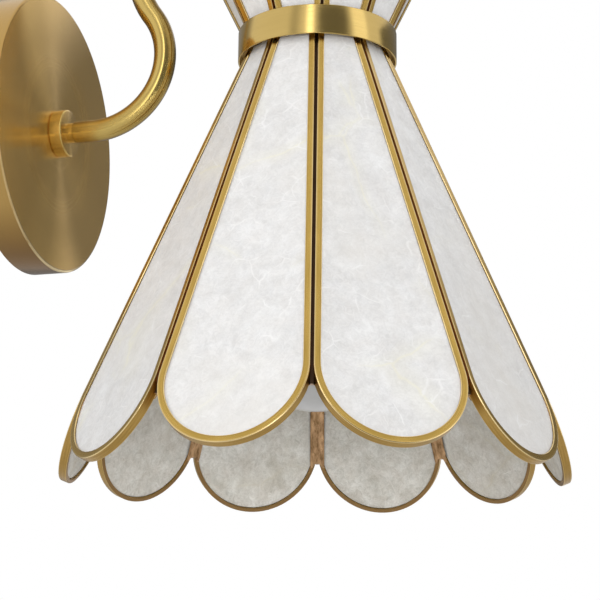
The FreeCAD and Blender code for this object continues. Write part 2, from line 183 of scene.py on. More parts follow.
def finish_mesh(piece, smooth_angle=35.0):
    """Welds doubles, points the faces outwards and smooths what is round."""
    open_up(piece)
    pick_all()
    bpy.ops.mesh.remove_doubles(threshold=mm(WELD_SLACK))
    bpy.ops.mesh.normals_make_consistent(inside=False)
    take_up(piece)
    bpy.ops.object.shade_smooth_by_angle(angle=math.radians(smooth_angle))
    return piece


def modify(piece, kind, **settings):
    """Adds a modifier and applies it."""
    take_up(piece)
    modifier = piece.modifiers.new(kind.title(), kind)
    for name, value in settings.items():
        setattr(modifier, name, value)
    bpy.ops.object.modifier_apply(modifier=modifier.name)
    return piece


def round_edges(piece, width, sharpness, segments=2):
    """Rounds every edge where the surface turns by more than an angle in degrees."""
    sizes = {"width": mm(width), "segments": segments, "angle_limit": math.radians(sharpness)}
    modify(piece, "BEVEL", limit_method="ANGLE", **sizes)


def mark_brush(piece, brush_place):
    """Stores, point by point, where the surface lies across and along its brush marks."""
    layer = piece.data.attributes.new("brush", "FLOAT_VECTOR", "POINT")
    for point, vert in zip(layer.data, piece.data.vertices):
        point.vector = brush_place(vert.co)
    return piece


def map_along(piece, brush_place, tiles_per_metre=10.0):
    """Unwraps a tube: U runs along it, and V goes round it."""
    layer = piece.data.uv_layers.new(name="along")
    for face in piece.data.polygons:
        marks = [brush_place(piece.data.vertices[corner].co) for corner in face.vertices]
        rounds = [math.atan2(mark.x, mark.y) / (2 * math.pi) for mark in marks]
        rounds = [value + 1 if max(rounds) - value > 0.5 else value for value in rounds]
        for loop, mark, value in zip(face.loop_indices, marks, rounds):
            layer.data[loop].uv = (mark.z * tiles_per_metre, value)
    return piece


def second_finish(piece, material, wanted):
    """Gives the faces that `wanted` says yes to the next material slot."""
    piece.data.materials.append(material)
    slot = len(piece.data.materials) - 1
    for face in piece.data.polygons:
        if wanted(face):
            face.material_index = slot
    return piece


def wear_it(piece, material, slot, body, *nodes):
    """Gives a finished piece its material, its body and the nodes that it stands for."""
    if not piece.data.materials:
        piece.data.materials.append(material)
    piece.data.materials[0] = material
    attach(piece, body)
    if nodes:
        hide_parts(*nodes)
    return piece


# ---------------------------------------------------------------- finishes


class Nodes:
    """Short hand for laying out a node tree."""

    def __init__(self, tree):
        self.tree = tree

    def add(self, kind, _inputs=None, **settings):
        node = self.tree.nodes.new(kind)
        for name, value in settings.items():
            setattr(node, name, value)
        for name, value in (_inputs or {}).items():
            if isinstance(value, bpy.types.NodeSocket):
                self.tree.links.new(value, node.inputs[name])
            else:
                node.inputs[name].default_value = value
        return node

    def noise(self, vector, scale, detail=4.0, roughness=0.55, distortion=0.0):
        sizes = {"Vector": vector, "Scale": scale, "Detail": detail}
        sizes.update({"Roughness": roughness, "Distortion": distortion})
        return self.add("ShaderNodeTexNoise", sizes).outputs["Fac"]

    def math(self, operation, a, b=0.0, clamp=False):
        node = self.add("ShaderNodeMath", {0: a, 1: b}, operation=operation, use_clamp=clamp)
        return node.outputs[0]

    def between(self, value, low, high, to_low=0.0, to_high=1.0):
        sizes = {"Value": value, "From Min": low, "From Max": high}
        sizes.update({"To Min": to_low, "To Max": to_high})
        return self.add("ShaderNodeMapRange", sizes).outputs["Result"]

    def mix(self, factor, a, b, blend="MIX"):
        node = self.add("ShaderNodeMix", data_type="RGBA", blend_type=blend)
        for socket, value in ((node.inputs[0], factor), (node.inputs[6], a), (node.inputs[7], b)):
            if isinstance(value, bpy.types.NodeSocket):
                self.tree.links.new(value, socket)
            else:
                socket.default_value = value
        return node.outputs[2]

    def stretch(self, vector, scale):
        both = {0: vector, 1: scale}
        return self.add("ShaderNodeVectorMath", both, operation="MULTIPLY").outputs[0]

    def edge_distance(self, vector, scale):
        """How far a point lies from the borders between irregular cells."""
        cells = {"Vector": vector, "Scale": scale}
        node = self.add("ShaderNodeTexVoronoi", cells, feature="DISTANCE_TO_EDGE")
        return node.outputs["Distance"]

    def ringed(self, place):
        """Distance from the pan's axis, then distance from the wall."""
        across = self.stretch(place, (1, 0, 1))
        radius = self.add("ShaderNodeVectorMath", {0: across}, operation="LENGTH").outputs["Value"]
        depth = self.add("ShaderNodeSeparateXYZ", {0: place}).outputs["Y"]
        return self.add("ShaderNodeCombineXYZ", {0: radius, 1: depth}).outputs[0], radius

    def brush_marks(self):
        """The piece's own record of where its brush marks run."""
        return self.add("ShaderNodeAttribute", attribute_name="brush").outputs["Vector"]


def new_group(name, inputs):
    """A node group of colour, roughness and height, with its helper, its input and its output."""
    tree = bpy.data.node_groups.new(name, "ShaderNodeTree")
    for label, kind, value in inputs:
        socket = tree.interface.new_socket(label, in_out="INPUT", socket_type=kind)
        socket.default_value = value
    for label, kind in (("Color", "Color"), ("Roughness", "Float"), ("Height", "Float")):
        tree.interface.new_socket(label, in_out="OUTPUT", socket_type="NodeSocket" + kind)
    nodes = Nodes(tree)
    return tree, nodes, nodes.add("NodeGroupInput").outputs, nodes.add("NodeGroupOutput")


def brushed_grain():
    """Satin metal: long fine brush lines, a soft drift of tone, small handling marks."""
    tree, nodes, given, result = new_group(
        "Brushed grain",
        [
            ("Vector", "NodeSocketVector", (0, 0, 0)),
            ("Stretch", "NodeSocketVector", (1, 1, 1)),
            ("Colour", "NodeSocketColor", (0.6, 0.45, 0.15, 1)),
            ("Dull colour", "NodeSocketColor", (0.4, 0.28, 0.09, 1)),
            ("Roughness", "NodeSocketFloat", 0.32),
            ("Grain", "NodeSocketFloat", 0.5),
        ],
    )
    lines = nodes.noise(nodes.stretch(given["Vector"], given["Stretch"]), 1.0, 3.0, 0.7)
    drift = nodes.noise(given["Vector"], 38.0, 3.0, 0.5)
    specks = nodes.noise(given["Vector"], 1500.0, 2.0, 0.6)
    streak = nodes.between(lines, 0.34, 0.66)
    tone = nodes.math("MULTIPLY", streak, given["Grain"])
    tone = nodes.math("ADD", tone, nodes.between(drift, 0.35, 0.7, 0.0, 0.35))
    tone = nodes.math("MULTIPLY", tone, 0.55, clamp=True)
    dulled = nodes.mix(tone, given["Colour"], given["Dull colour"])
    rough = nodes.math("ADD", given["Roughness"], nodes.between(drift, 0.3, 0.7, -0.03, 0.05))
    rough = nodes.math("ADD", rough, nodes.between(streak, 0.0, 1.0, -0.04, 0.05))
    height = nodes.math("ADD", lines, nodes.math("MULTIPLY", specks, 0.25))
    tree.links.new(dulled, result.inputs["Color"])
    tree.links.new(rough, result.inputs["Roughness"])
    tree.links.new(height, result.inputs["Height"])
    return tree


def flat_shell():
    """Windowpane-oyster sheet: milky, with fine cloud, thin cream cracks and short scratches."""
    tree, nodes, given, result = new_group(
        "Flat shell",
        [
            ("Vector", "NodeSocketVector", (0, 0, 0)),
            ("Pale", "NodeSocketColor", (0.86, 0.865, 0.87, 1)),
            ("Cloud", "NodeSocketColor", (0.76, 0.765, 0.775, 1)),
            ("Vein", "NodeSocketColor", (0.80, 0.76, 0.62, 1)),
            ("Blush", "NodeSocketColor", (0.84, 0.80, 0.76, 1)),
            ("Scratch", "NodeSocketColor", (0.93, 0.935, 0.94, 1)),
        ],
    )
    place = given["Vector"]
    wander = nodes.add("ShaderNodeTexNoise", {"Vector": place, "Scale": 45.0, "Detail": 4.0})
    push = nodes.stretch(wander.outputs["Color"], (0.012, 0.012, 0.012))
    drifted = nodes.add("ShaderNodeVectorMath", {0: place, 1: push}, operation="ADD").outputs[0]
    soft = nodes.noise(drifted, 90.0, 6.0, 0.65, 0.8)
    small = nodes.noise(place, 420.0, 6.0, 0.74, 1.4)
    broad = nodes.noise(place, 13.0, 2.0, 0.5)
    cloud = nodes.math("MULTIPLY", soft, 0.45)
    cloud = nodes.math("ADD", cloud, nodes.math("MULTIPLY", small, 0.55))
    cloud = nodes.between(cloud, 0.39, 0.62)
    colour = nodes.mix(cloud, given["Pale"], given["Cloud"])
    colour = nodes.mix(nodes.between(broad, 0.52, 0.72, 0.0, 0.5), colour, given["Blush"])

    # Growth cracks: thin bent lines, broken up, with a paler band beside them
    cracks = nodes.edge_distance(drifted, 19.0)
    edge = nodes.between(cracks, 0.0, 0.022, 1.0, 0.0)
    band = nodes.between(cracks, 0.0, 0.10, 0.45, 0.0)
    patchy = nodes.between(nodes.noise(place, 21.0, 2.0), 0.49, 0.6)
    vein = nodes.math("MULTIPLY", nodes.math("MAXIMUM", edge, band), patchy, clamp=True)
    colour = nodes.mix(nodes.math("MULTIPLY", vein, 0.8), colour, given["Vein"])

    # Short white scratches: the borders of finer cells, more broken up
    hair = nodes.between(nodes.edge_distance(drifted, 62.0), 0.0, 0.025, 1.0, 0.0)
    hair = nodes.math("MULTIPLY", hair, nodes.between(nodes.noise(place, 80.0, 3.0), 0.52, 0.6))
    colour = nodes.mix(nodes.math("MULTIPLY", hair, 0.7), colour, given["Scratch"])

    rough = nodes.between(cloud, 0.0, 1.0, 0.30, 0.42)
    rough = nodes.math("ADD", rough, nodes.math("MULTIPLY", hair, 0.1))
    height = nodes.math("MULTIPLY", soft, 0.7)
    height = nodes.math("ADD", height, nodes.math("MULTIPLY", small, 0.5))
    height = nodes.math("SUBTRACT", height, nodes.math("MULTIPLY", vein, 0.2))
    tree.links.new(colour, result.inputs["Color"])
    tree.links.new(rough, result.inputs["Roughness"])
    tree.links.new(height, result.inputs["Height"])
    return tree


GRAIN = brushed_grain()
SHELL = flat_shell()


def blank_material(name):
    material = bpy.data.materials.new(name)
    material.use_nodes = True
    nodes = Nodes(material.node_tree)
    shader = material.node_tree.nodes["Principled BSDF"]
    place = nodes.add("ShaderNodeTexCoord").outputs["Object"]
    return material, nodes, shader, place


def hook_up(nodes, group, shader, bump_depth, bump_strength):
    """Feeds a group's colour, roughness and height to the shader."""
    links = nodes.tree.links
    links.new(group.outputs["Color"], shader.inputs["Base Color"])
    links.new(group.outputs["Roughness"], shader.inputs["Roughness"])
    sizes = {"Height": group.outputs["Height"], "Distance": bump_depth, "Strength": bump_strength}
    links.new(nodes.add("ShaderNodeBump", sizes).outputs["Normal"], shader.inputs["Normal"])


def fill_in(nodes, group, values):
    """Gives a placed group its own values, or links to what feeds them."""
    for key, value in values.items():
        if isinstance(value, bpy.types.NodeSocket):
            nodes.tree.links.new(value, group.inputs[key])
        else:
            group.inputs[key].default_value = value


def metal(
    name, colour, dull, *, roughness, stretch, grain=0.5, bump=0.35, depth=0.03, marks="place"
):
    """A brushed metal, its marks `depth` millimetres deep. `stretch` is how fast the grain changes
    along each axis, per metre. The marks run by the piece's place, in "rings" round the pan's axis,
    or as the piece's "own" record says."""
    material, nodes, shader, place = blank_material(name)
    if marks == "rings":
        place = nodes.ringed(place)[0]
    elif marks == "own":
        place = nodes.brush_marks()
    values = {"Vector": place, "Stretch": stretch, "Roughness": roughness, "Grain": grain}
    values.update({"Colour": (*colour, 1), "Dull colour": (*dull, 1)})
    group = nodes.add("ShaderNodeGroup", node_tree=GRAIN)
    fill_in(nodes, group, values)
    shader.inputs["Metallic"].default_value = 1.0
    hook_up(nodes, group, shader, mm(depth), bump)
    return material


def across_own_marks(nodes):
    """Distance in from a petal's outline, from the piece's own record."""
    return nodes.add("ShaderNodeSeparateXYZ", {0: nodes.brush_marks()}).outputs["X"]


def tint_where(material, mask, colour):
    """Lays a second colour over a material's own, where the mask says."""
    nodes = Nodes(material.node_tree)
    shader = material.node_tree.nodes["Principled BSDF"]
    under = shader.inputs["Base Color"].links[0].from_socket
    nodes.tree.links.new(nodes.mix(mask, under, (*colour, 1)), shader.inputs["Base Color"])
    return material


def frame_material():
    """Brass bar brushed along its length: painted shade by the shell, painted highlight outside."""
    material = metal(
        "frame brass", (0.60, 0.40, 0.105), (0.36, 0.22, 0.045),
        roughness=0.27, stretch=(3600, 60, 900), grain=1.0, bump=0.25, marks="own",
    )
    nodes = Nodes(material.node_tree)
    inset = across_own_marks(nodes)
    # Painted shade: a dark line along the inner edge of the bar, where it meets the shell.
    painted_shade_by_shell = nodes.between(inset, mm(FRAME_WIDTH - 0.75), mm(FRAME_WIDTH - 0.15), 0.0, 0.75)
    tint_where(material, painted_shade_by_shell, (0.2, 0.12, 0.035))
    # Painted highlight: a bright band along the outer edge of the bar.
    outside = nodes.between(inset, mm(0.9), mm(0.2), 0.0, 0.5)
    return tint_where(material, outside, (0.78, 0.58, 0.25))


def tube_material():
    """Polished tube: its highlights run along it in long streaks, and its edges carry a painted
    dark reflection.
    """
    material = metal(
        "arm brass", (0.62, 0.45, 0.14), (0.5, 0.34, 0.09),
        roughness=0.17, stretch=(1500, 1500, 45), grain=0.12, bump=0.01, marks="own",
    )
    nodes = Nodes(material.node_tree)
    shader = material.node_tree.nodes["Principled BSDF"]
    shader.inputs["Anisotropic"].default_value = 0.95
    tangent = nodes.add("ShaderNodeTangent", direction_type="UV_MAP", uv_map="along")
    nodes.tree.links.new(tangent.outputs[0], shader.inputs["Tangent"])
    # Painted reflection: a dark tint where the tube turns away from the eye.
    turned_away = nodes.add("ShaderNodeLayerWeight", {"Blend": 0.5}).outputs["Facing"]
    edge = nodes.between(turned_away, 0.25, 0.7, 0.0, 0.9)
    return tint_where(material, edge, (0.15, 0.085, 0.02))


def pan_material():
    """Spun brass: rings whose highlight spreads across them, painted shade on the side wall that
    deepens downwards, and a painted highlight along the bottom of the rolled edge."""
    material = metal(
        "pan brass", (0.84, 0.55, 0.18), (0.62, 0.40, 0.125),
        roughness=0.205, stretch=(9000, 900, 1), grain=0.35, bump=0.02, marks="rings",
    )
    nodes = Nodes(material.node_tree)
    shader = material.node_tree.nodes["Principled BSDF"]
    shader.inputs["Anisotropic"].default_value = 1.0
    shader.inputs["Anisotropic Rotation"].default_value = 0.25
    tangent = nodes.add("ShaderNodeTangent", direction_type="RADIAL", axis="Y")
    nodes.tree.links.new(tangent.outputs[0], shader.inputs["Tangent"])
    place = nodes.add("ShaderNodeTexCoord").outputs["Object"]
    rim = nodes.between(nodes.ringed(place)[1], mm(PAN_RADIUS - 1.5), mm(PAN_RADIUS - 0.9))
    axes = nodes.add("ShaderNodeSeparateXYZ", {0: place}).outputs
    # Painted shade: the side wall is tinted darker towards the bottom.
    dark = nodes.math("MULTIPLY", rim, nodes.between(axes["Z"], mm(-46), mm(-61), 0.5, 0.95))
    tint_where(material, dark, (0.2, 0.11, 0.04))
    # Painted highlight: a bright band along the rolled edge, strongest at the bottom.
    rolled = nodes.between(axes["Y"], mm(0.8 - PAN_DEPTH), mm(0.5 - PAN_DEPTH))
    below = nodes.between(axes["Z"], mm(-15), mm(-50), 0.0, 0.7)
    painted_rim_highlight = nodes.math("MULTIPLY", nodes.math("MULTIPLY", rim, rolled), below)
    return tint_where(material, painted_rim_highlight, (0.9, 0.74, 0.42))


pan_brass = pan_material()
boss_brass = metal(
    "boss brass", (0.62, 0.45, 0.15), (0.46, 0.32, 0.09),
    roughness=0.13, stretch=(2600, 400, 1), grain=0.35, bump=0.04, marks="rings",
)
tube_brass = tube_material()
turned_brass = metal(
    "turned brass", (0.56, 0.40, 0.125), (0.43, 0.29, 0.08),
    roughness=0.2, stretch=(60, 60, 2600), grain=0.35, bump=0.08,
)
collar_brass = metal(
    "collar brass", (0.60, 0.43, 0.15), (0.46, 0.32, 0.10),
    roughness=0.15, stretch=(45, 45, 3600), bump=0.08,
)
frame_brass = frame_material()
# A brighter copy of the frame brass for the rounded front edges: a painted highlight.
arris_highlight_brass = metal(
    "rubbed arris", (0.88, 0.69, 0.36), (0.6, 0.43, 0.17),
    roughness=0.2, stretch=(900, 60, 900), grain=0.7, bump=0.1, marks="own",
)
side_brass = metal(
    "frame side brass", (0.56, 0.355, 0.105), (0.27, 0.16, 0.04),
    roughness=0.3, stretch=(900, 60, 3600), grain=0.95, bump=0.3, marks="own",
)
inner_patina = metal(
    "frame inner patina", (0.36, 0.22, 0.09), (0.20, 0.115, 0.045),
    roughness=0.4, stretch=(3000, 90, 900), grain=0.9, bump=0.3, marks="own",
)
# Near-black painted shade for the solder's face, deep in the gap between frames.
seam_painted_shade = metal(
    "seam painted shade", (0.07, 0.042, 0.025), (0.03, 0.018, 0.01),
    roughness=0.5, stretch=(900, 60, 3000), grain=0.8, bump=0.3, marks="own",
)
seam_side = metal(
    "seam side brass", (0.85, 0.46, 0.17), (0.5, 0.25, 0.09),
    roughness=0.45, stretch=(900, 60, 3000), grain=0.9, bump=0.3, marks="own",
)
seam_brass = metal(
    "seam solder", (0.66, 0.41, 0.22), (0.15, 0.08, 0.03),
    roughness=0.3, stretch=(420, 420, 26), grain=1.5, bump=0.4, depth=0.1,
)
inner_brass = metal(
    "inner brass", (0.5, 0.36, 0.14), (0.34, 0.24, 0.09), roughness=0.4, stretch=(700, 700, 1200)
)
plated_steel = metal(
    "zinc plate", (0.72, 0.73, 0.74), (0.55, 0.56, 0.58), roughness=0.35, stretch=(900, 700, 700)
)
earth_green = metal(
    "earth screw green", (0.1, 0.38, 0.16), (0.05, 0.22, 0.08),
    roughness=0.35, stretch=(900, 700, 700), grain=0.4,
)
cap_metal = metal(
    "lamp cap metal", (0.8, 0.79, 0.76), (0.62, 0.6, 0.56),
    roughness=0.28, stretch=(80, 80, 1500), grain=0.4,
)


def shell_material(name, pale, cloud, vein, blush, scratch, frame_shade_amount, relief):
    """Shell sheet: how much painted shade lies in from its frame (`frame_shade_amount`), how far
    its layers rise (`relief`).
    """
    material, nodes, shader, place = blank_material(name)
    group = nodes.add("ShaderNodeGroup", node_tree=SHELL)
    colours = {"Pale": pale, "Cloud": cloud, "Vein": vein, "Blush": blush, "Scratch": scratch}
    fill_in(nodes, group, {key: (*value, 1) for key, value in colours.items()})
    fill_in(nodes, group, {"Vector": place})
    shader.inputs["Specular IOR Level"].default_value = 0.35
    hook_up(nodes, group, shader, mm(0.5), relief)
    # Painted shade: a patchy brown darkening in from the frame's lip.
    inset = across_own_marks(nodes)
    frame_shade_mask = nodes.between(inset, mm(PANEL_INSET + 2.6), mm(PANEL_INSET + 0.5))
    patchy = nodes.between(nodes.noise(place, 150.0), 0.3, 0.65, 0.3, 1.0)
    frame_shade_mask = nodes.math("MULTIPLY", frame_shade_mask, patchy)
    return tint_where(material, nodes.math("MULTIPLY", frame_shade_mask, frame_shade_amount), (0.34, 0.24, 0.13))


def glazed_material():
    material, nodes, shader, place = blank_material("glazed china")
    tone = nodes.between(nodes.noise(place, 120.0, 4.0), 0.3, 0.7)
    colour = nodes.mix(tone, (0.86, 0.85, 0.82, 1), (0.80, 0.79, 0.75, 1))
    nodes.tree.links.new(colour, shader.inputs["Base Color"])
    nodes.tree.links.new(nodes.between(tone, 0.0, 1.0, 0.16, 0.26), shader.inputs["Roughness"])
    shader.inputs["Coat Weight"].default_value = 0.4
    return material


def frosted_material():
    """Acid-frosted bulb glass: milky grey, faintly uneven."""
    material, nodes, shader, place = blank_material("frosted glass")
    tone = nodes.between(nodes.noise(place, 60.0, 5.0, 0.6), 0.3, 0.7)
    colour = nodes.mix(tone, (0.60, 0.60, 0.595, 1), (0.49, 0.485, 0.475, 1))
    nodes.tree.links.new(colour, shader.inputs["Base Color"])
    nodes.tree.links.new(nodes.between(tone, 0.0, 1.0, 0.24, 0.36), shader.inputs["Roughness"])
    fine = nodes.noise(place, 2600.0, 2.0)
    bump = nodes.add("ShaderNodeBump", {"Height": fine, "Distance": mm(0.02), "Strength": 0.3})
    nodes.tree.links.new(bump.outputs["Normal"], shader.inputs["Normal"])
    shader.inputs["Coat Weight"].default_value = 0.9
    shader.inputs["Coat Roughness"].default_value = 0.07
    return material


shell_face = shell_material(
    "flat shell face",
    pale=(0.86, 0.86, 0.86),
    cloud=(0.70, 0.70, 0.70),
    vein=(0.85, 0.835, 0.72),
    blush=(0.81, 0.785, 0.74),
    scratch=(0.93, 0.93, 0.93),
    frame_shade_amount=0.12,
    relief=0.22,
)
# The inner side: its paler, warmer ground is a painted glow, standing in for light coming through
# the shell.
shell_back_glow = shell_material(
    "flat shell back glow",
    pale=(0.96, 0.955, 0.91),
    cloud=(0.60, 0.595, 0.54),
    vein=(0.74, 0.71, 0.60),
    blush=(0.70, 0.66, 0.60),
    scratch=(0.95, 0.94, 0.90),
    frame_shade_amount=0.3,
    relief=0.9,
)
china = glazed_material()
frosted = frosted_material()


# ---------------------------------------------------------------- wall pan and arm


def wall_pan():
    """A spun pan: disc drawn up from a cylinder, open at the wall, its face edge rolled over."""
    pan = start(
        "wall_pan",
        bpy.ops.mesh.primitive_cylinder_add,
        vertices=192,
        radius=mm(PAN_RADIUS),
        depth=mm(PAN_DEPTH),
        location=mm(0, -PAN_DEPTH / 2, 0),
        rotation=(math.pi / 2, 0, 0),
    )
    pick(pan, "FACE", lambda face: near(face.calc_center_median().y, 0))
    bpy.ops.mesh.delete(type="FACE")
    pick(pan, "EDGE", lambda edge: lies_at(edge, 1, -PAN_DEPTH))
    bpy.ops.mesh.bevel(offset=mm(PAN_ROUND), segments=5, profile=0.5)
    modify(pan, "SOLIDIFY", thickness=mm(PAN_WALL), offset=-1.0, use_even_offset=True)
    return finish_mesh(pan)


def boss_and_neck():
    boss = start(
        "arm_boss_turned",
        bpy.ops.mesh.primitive_cylinder_add,
        vertices=96,
        radius=mm(BOSS_RADIUS),
        depth=mm(BOSS_LENGTH),
        location=mm(0, -PAN_DEPTH - BOSS_LENGTH / 2, 0),
        rotation=(math.pi / 2, 0, 0),
    )
    front = -PAN_DEPTH - BOSS_LENGTH
    pick(boss, "FACE", lambda face: near(face.calc_center_median().y, front))
    bpy.ops.mesh.inset(thickness=mm(BOSS_RADIUS - NECK_RADIUS))
    draw_out(y=-NECK_LENGTH)

    def on_front_rim(edge):
        rim = mm(BOSS_RADIUS - 1)
        return lies_at(edge, 1, front) and all(math.hypot(v.co.x, v.co.z) > rim for v in edge.verts)

    pick(boss, "EDGE", on_front_rim)
    bpy.ops.mesh.bevel(offset=mm(BOSS_ROUND), segments=3, profile=0.5)
    pick(boss, "EDGE", lambda edge: lies_at(edge, 1, -PAN_DEPTH))
    bpy.ops.mesh.bevel(offset=mm(BOSS_FOOT), segments=1)
    return finish_mesh(boss)


class ArmLine:
    """The arm's centreline: stub, curl, wide turn over the top, and drop to the ferrule."""

    start = PAN_DEPTH + BOSS_LENGTH + NECK_LENGTH
    stub_end = start + STUB_LENGTH
    lean = math.radians(CURL_ANGLE)
    wide = (SHADE_OFFSET - stub_end - CURL_RADIUS * math.cos(lean)) / (1 + math.cos(lean))
    curl_centre = Vector((0, -stub_end, CURL_RADIUS))
    wide_centre = curl_centre + Vector((0, -math.cos(lean), math.sin(lean))) * (CURL_RADIUS + wide)

    @classmethod
    def brush_place(cls, point):
        """Across the tube (to the side, and out of the curl's bend), then along it."""
        x, reach, z = point.x * 1000, -point.y * 1000, point.z * 1000
        over, above = reach - cls.stub_end, z - CURL_RADIUS
        wide_over, wide_above = reach + cls.wide_centre.y, z - cls.wide_centre.z
        curl_reach = math.hypot(over, above)
        on_curl = abs(curl_reach - CURL_RADIUS) < TUBE_RADIUS + 0.5
        curl_turn = math.pi / 2 + math.atan2(above, over)
        curl_end = math.pi / 2 + cls.lean
        if over <= 0 and z < 2 * TUBE_RADIUS:
            offset, along = z, over
        elif over > 0 and curl_turn <= curl_end and on_curl:
            offset, along = CURL_RADIUS - curl_reach, CURL_RADIUS * curl_turn
        elif wide_above < 0 < wide_over:
            offset = wide_over - cls.wide
            along = CURL_RADIUS * curl_end + cls.wide * (math.pi + cls.lean) - wide_above
        else:
            turned = math.pi + cls.lean - math.atan2(wide_above, wide_over) % (2 * math.pi)
            offset = math.hypot(wide_over, wide_above) - cls.wide
            along = CURL_RADIUS * curl_end + cls.wide * turned
        return mm(x, offset, along)


def gooseneck():
    """One tube bent by spinning its round end about the curl's centre and then the wide turn's."""
    tube = start(
        "gooseneck_tube",
        bpy.ops.mesh.primitive_circle_add,
        vertices=48,
        radius=mm(TUBE_RADIUS),
        fill_type="NGON",
        location=mm(0, -ArmLine.start, 0),
        rotation=(math.pi / 2, 0, 0),
    )
    pick_all()
    draw_out(y=-STUB_LENGTH)
    curl, over = ArmLine.curl_centre / 1000, ArmLine.wide_centre / 1000
    bpy.ops.mesh.spin(steps=52, angle=math.pi / 2 + ArmLine.lean, center=curl, axis=(1, 0, 0))
    bpy.ops.mesh.spin(steps=110, angle=-math.pi - ArmLine.lean, center=over, axis=(1, 0, 0))
    draw_out(z=ARM_END - ArmLine.wide_centre.z)
    pick(tube, "EDGE", lambda edge: lies_at(edge, 1, -ArmLine.start) and edge.calc_length() < mm(2))
    bpy.ops.mesh.bevel(offset=mm(TUBE_ROUND), segments=3)
    mark_brush(finish_mesh(tube), ArmLine.brush_place)
    return map_along(tube, ArmLine.brush_place)


# ---------------------------------------------------------------- waist and socket


def waist_band():
    band = start(
        "waist_band",
        bpy.ops.mesh.primitive_cylinder_add,
        vertices=160,
        radius=mm(COLLAR_RADIUS),
        depth=mm(COLLAR_HEIGHT),
        end_fill_type="NOTHING",
        location=on_shade_axis(COLLAR_BOTTOM + COLLAR_HEIGHT / 2),
    )
    modify(band, "SOLIDIFY", thickness=mm(COLLAR_WALL), offset=-1.0)
    round_edges(band, COLLAR_ROUND, 40, segments=3)
    return finish_mesh(band)


def upright_cylinder(name, box, radius, vertices):
    """A cylinder on the shade's axis, as high as a CAD node's box, and the height of its top."""
    low, high = box
    middle = (0, -mm(SHADE_OFFSET), (low.z + high.z) / 2)
    sizes = {"vertices": vertices, "radius": mm(radius), "depth": high.z - low.z}
    piece = start(name, bpy.ops.mesh.primitive_cylinder_add, location=middle, **sizes)
    return piece, high.z * 1000


def ferrule():
    piece, top = upright_cylinder("ferrule_turned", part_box("stem_ferrule"), FERRULE_RADIUS, 64)
    pick(piece, "EDGE", lambda edge: lies_at(edge, 2, top))
    bpy.ops.mesh.bevel(offset=mm(FERRULE_ROUND), segments=5)
    return finish_mesh(piece)


def lamp_cup():
    cup, top = upright_cylinder("lamp_cup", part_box("socket_cup"), CUP_RADIUS, 96)
    pick(cup, "FACE", lambda face: face.normal.z < -0.9)
    bpy.ops.mesh.delete(type="FACE")
    pick(cup, "EDGE", lambda edge: lies_at(edge, 2, top))
    bpy.ops.mesh.bevel(offset=mm(CUP_ROUND), segments=5)
    modify(cup, "SOLIDIFY", thickness=mm(CUP_WALL), offset=-1.0)
    return finish_mesh(cup)


def cup_stem():
    stem = upright_cylinder("cup_stem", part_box("socket_spacer"), STEM_RADIUS, 48)[0]
    pick(stem, "FACE", lambda face: abs(face.normal.z) > 0.9)
    bpy.ops.mesh.inset(thickness=mm(STEM_WALL))

    def on_outer_rim(edge):
        out = (middle_of(edge) - on_shade_axis(0)).xy.length
        return edge.is_manifold and edge.calc_face_angle(0) > 1 and out > mm(STEM_RADIUS - 0.5)

    pick(stem, "EDGE", on_outer_rim)
    bpy.ops.mesh.bevel(offset=mm(STEM_ROUND), segments=2)
    return finish_mesh(stem)


def frosted_bulb():
    """A ball with a hollow flare drawn up to a straight neck."""
    ball, neck_height = BULB_BOTTOM + BULB_RADIUS, CAP_BOTTOM - NECK_BELOW_CAP
    rise = neck_height - ball
    flare = (rise**2 + BULB_NECK**2 - BULB_RADIUS**2) / (2 * (BULB_RADIUS - BULB_NECK))
    turn = math.atan2(rise, BULB_NECK + flare)
    glass = start(
        "frosted_bulb",
        bpy.ops.mesh.primitive_uv_sphere_add,
        segments=72,
        ring_count=48,
        radius=mm(BULB_RADIUS),
        location=on_shade_axis(ball),
    )
    width, height = BULB_RADIUS * math.cos(turn), ball + BULB_RADIUS * math.sin(turn)
    cut_off(on_shade_axis(height), (0, 0, 1))
    pick(glass, "EDGE", lambda edge: edge.is_boundary)
    steps = 14
    for step in range(1, steps + 1):
        angle = turn * (1 - step / steps)
        new_width = BULB_NECK + flare - flare * math.cos(angle)
        new_height = neck_height - flare * math.sin(angle)
        draw_out(z=new_height - height)
        widen(on_shade_axis(new_height), x=new_width / width, y=new_width / width)
        width, height = new_width, new_height
    draw_out(z=CAP_BOTTOM + NECK_IN_CAP - height)
    modify(glass, "SOLIDIFY", thickness=mm(BULB_WALL), offset=-1.0)
    return finish_mesh(glass, 60)


# ---------------------------------------------------------------- petals


